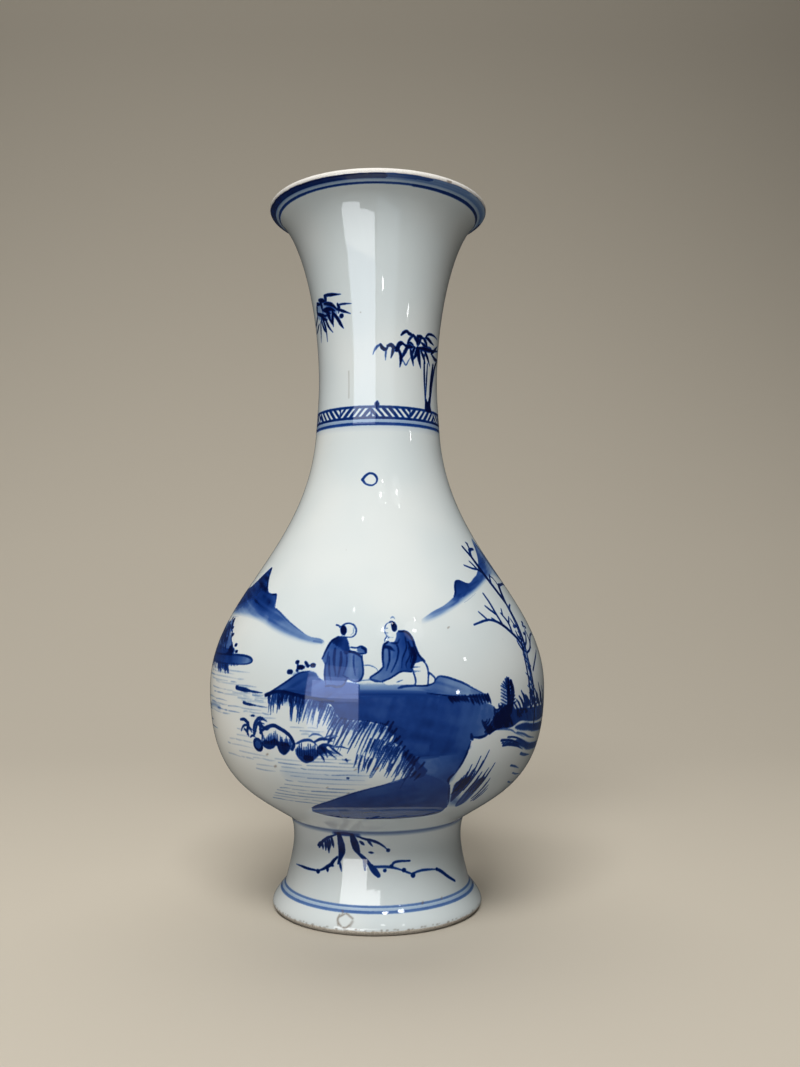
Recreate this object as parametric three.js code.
// Flared-mouth porcelain vase: four thrown sections, luted edge to edge with rings of slip.
// Millimetres, +Z up, origin at the centre of the foot ring's resting face.
import * as THREE from 'three';
import { mergeVertices } from 'three/addons/utils/BufferGeometryUtils.js';

// Driving dimensions: heights are above the resting face, radii are of the outer face
const totalHeight = 250;
const mouthRadius = 39.6;
const lipThickness = 2.4;
const lipOverhang = 3.3; // how far the lip turns out past the flare
const lipRise = 1.2; // from the end of the flare up to the underside of the lip
const neckWaistRadius = 21.5;
const neckWaistRise = 17.4; // from the neck joint up to the waist
const neckJointRadius = 22.4;
const neckJointHeight = 167.6;
const bellyRadius = 59.3;
const bellyHeight = 77; // level of the widest circle, where the two body sections meet
const footJointRadius = 31;
const footJointHeight = 31.6;
const footWaistRadius = 29.6;
const footWaistDrop = 7.6; // from the foot joint down to the foot's waist
const footKinkRadius = 32.5; // where the foot's concave wall meets its rolled edge
const footKinkHeight = 8.4;
const footRollRadius = 36.9;
const footRollHeight = 1.7; // top of the bevel under the rolled edge
const footBevel = 1.2;
const footRimWidth = 4.5; // width of the bare ring that the vase stands on

// Walls
const neckWall = 3.8;
const flareWall = 3.2;
const bodyWall = 4.8;
const footWall = 5;
const floorThickness = 6;
const undersideRise = 1.2; // hollow of the floor's underside inside the foot

// Luting joints
const slipThickness = 0.6;
const beadReach = 1.2; // how far squeezed-out slip stands in from the wall
const beadRise = 0.5; // how far it swells above and below the seam
const beadClearance = 0.4;

// Fullness of the curves: the length of each curve's pull at its ends, and its slope there
const lipSlope = THREE.MathUtils.degToRad(46);
const lipPull = 12.6;
const flarePull = 25.7;
const neckPull = 6;
const neckLean = THREE.MathUtils.degToRad(3.5);
const shoulderTopPull = 43;
const shoulderPull = 31.5;
const bowlPull = 31.5;
const bowlBasePull = 17.1;
const bowlBaseSlope = THREE.MathUtils.degToRad(34.3);
const floorSpread = 30;
const innerSidePull = 37;
const footWallPull = 4.5;
const footTopPull = 2.8;
const footRollPull = 3.2;

const aroundSteps = 48;

const glazedPorcelain = new THREE.MeshStandardMaterial({ color: 0xdde2e0, roughness: 0.12, metalness: 0 });
const slipClay = new THREE.MeshStandardMaterial({ color: 0xe6e1d6, roughness: 0.7, metalness: 0 });

const point = (radius, height) => new THREE.Vector2(radius, height);

// A point at a distance and slope (from level, anticlockwise) from another one
const pulled = (from, distance, slope) =>
  point(from.x + distance * Math.cos(slope), from.y + distance * Math.sin(slope));

function curve(from, fromPull, toPull, to, steps) {
  return new THREE.CubicBezierCurve(from, fromPull, toPull, to).getPoints(steps);
}

// The inner face of a wall, top first: each outer point moved in, square to the wall.
// An end that seats on a joint stays at its own level.
function innerFace(outer, wallBelow, wallAbove, topSeats = true) {
  const last = outer.length - 1;
  return outer.map((p, i) => {
    const wall = THREE.MathUtils.lerp(wallBelow, wallAbove, i / last);
    if (i === 0 || (topSeats && i === last)) return point(p.x - wall, p.y);
    const along = outer[Math.min(i + 1, last)].clone().sub(outer[i - 1]).normalize();
    return point(p.x - along.y * wall, p.y + along.x * wall);
  }).reverse();
}

// A closed body of revolution from an outline that runs up the outside and down the inside
function turned(name, material, outline) {
  const closed = outline[0].x > 0 ? [...outline, outline[0].clone()] : outline;
  const lathe = new THREE.LatheGeometry(closed, aroundSteps).rotateX(Math.PI / 2);
  lathe.deleteAttribute('normal');
  lathe.deleteAttribute('uv');
  const geometry = mergeVertices(lathe, 1e-4);
  geometry.computeVertexNormals();
  const mesh = new THREE.Mesh(geometry, material);
  mesh.name = name;
  return mesh;
}

// Both faces of a joint, half the slip's thickness from its middle
const above = (jointHeight) => jointHeight + slipThickness / 2;
const below = (jointHeight) => jointHeight - slipThickness / 2;

function neckSection() {
  const seat = point(neckJointRadius, above(neckJointHeight));
  const waist = point(neckWaistRadius, neckJointHeight + neckWaistRise);
  const flareEnd = point(mouthRadius - lipOverhang, totalHeight - lipThickness - lipRise);
  const lower = curve(
    seat, pulled(seat, neckPull, Math.PI / 2 + neckLean),
    point(waist.x, waist.y - neckPull), waist, 3);
  const flare = curve(
    waist, point(waist.x, waist.y + flarePull),
    pulled(flareEnd, lipPull, Math.PI + lipSlope), flareEnd, 11);
  const wallPoints = [...lower, ...flare.slice(1)];

  const lipEdgeRadius = lipThickness / 2;
  const lipCentre = point(mouthRadius - lipEdgeRadius, totalHeight - lipEdgeRadius);
  const lipEdge = [];
  const edgeSteps = 5;
  for (let i = 0; i <= edgeSteps; i++) {
    lipEdge.push(pulled(lipCentre, lipEdgeRadius, Math.PI * (i / edgeSteps - 0.5)));
  }
  const inside = innerFace(wallPoints, neckWall, flareWall, false);
  return turned('neck_section', glazedPorcelain, [...wallPoints, ...lipEdge, ...inside]);
}

function shoulderSection() {
  const seat = point(bellyRadius, above(bellyHeight));
  const top = point(neckJointRadius, below(neckJointHeight));
  const outer = curve(
    seat, point(seat.x, seat.y + shoulderPull),
    pulled(top, shoulderTopPull, neckLean - Math.PI / 2), top, 11);
  return turned('shoulder_section', glazedPorcelain, [...outer, ...innerFace(outer, bodyWall, neckWall)]);
}

function bellySection() {
  const seat = point(footJointRadius, above(footJointHeight));
  const top = point(bellyRadius, below(bellyHeight));
  const outer = curve(
    seat, pulled(seat, bowlBasePull, bowlBaseSlope),
    point(top.x, top.y - bowlPull), top, 10);

  const undersideCentre = point(0, seat.y + undersideRise);
  const undersideEdge = point(footJointRadius - footWall - beadReach, seat.y);
  const underside = curve(
    undersideCentre, point(undersideEdge.x / 2, undersideCentre.y),
    point(undersideEdge.x / 2, seat.y), undersideEdge, 3);

  const floorCentre = point(0, undersideCentre.y + floorThickness);
  const insideTop = point(bellyRadius - bodyWall, top.y);
  const inside = curve(
    insideTop, point(insideTop.x, insideTop.y - innerSidePull),
    point(floorSpread, floorCentre.y), floorCentre, 9);
  return turned('belly_section', glazedPorcelain, [...underside, ...outer, ...inside]);
}

function footSection() {
  const restingEdge = point(footRollRadius - footBevel, 0);
  const roll = point(footRollRadius, footRollHeight);
  const kink = point(footKinkRadius, footKinkHeight);
  const waist = point(footWaistRadius, footJointHeight - footWaistDrop);
  const top = point(footJointRadius, below(footJointHeight));

  const rolledEdge = curve(
    roll, pulled(roll, footRollPull / 2, Math.PI / 2), pulled(kink, footRollPull, -Math.PI / 4), kink, 4);
  const concave = curve(
    kink, pulled(kink, footWallPull, Math.PI * 0.58), point(waist.x, waist.y - footWallPull), waist, 4);
  const rising = curve(
    waist, point(waist.x, waist.y + footTopPull), pulled(top, footTopPull, Math.PI * 1.36), top, 3);
  const wallPoints = [...concave, ...rising.slice(1)];

  const restingInner = point(restingEdge.x - footRimWidth, 0);
  const inside = innerFace(wallPoints, footWall, footWall);
  return turned('foot_section', glazedPorcelain,
    [restingInner, restingEdge, ...rolledEdge.slice(0, -1), ...wallPoints, ...inside]);
}

// A ring of slip: a flat washer between two seats, with the slip that squeezed out inside the wall.
// Under the floor it can only swell downwards.
function slipRing(name, jointHeight, radius, wall, swellsUp = true) {
  const inner = radius - wall;
  const beadFoot = inner - beadClearance;
  const beadCrown = inner - beadReach;
  const beadMiddle = (beadFoot + beadCrown) / 2;
  const bottom = below(jointHeight);
  const top = above(jointHeight);
  return turned(name, slipClay, [
    point(beadFoot, bottom), point(radius, bottom), point(radius, top), point(beadFoot, top),
    point(beadMiddle, top + (swellsUp ? beadRise : 0)), point(beadCrown, jointHeight),
    point(beadMiddle, bottom - beadRise),
  ]);
}

const vase = new THREE.Group();
vase.name = 'flared_mouth_vase';
vase.add(
  footSection(),
  slipRing('foot_luting_slip', footJointHeight, footJointRadius, footWall, false),
  bellySection(),
  slipRing('belly_luting_slip', bellyHeight, bellyRadius, bodyWall),
  shoulderSection(),
  slipRing('neck_luting_slip', neckJointHeight, neckJointRadius, neckWall),
  neckSection(),
);

export default vase;
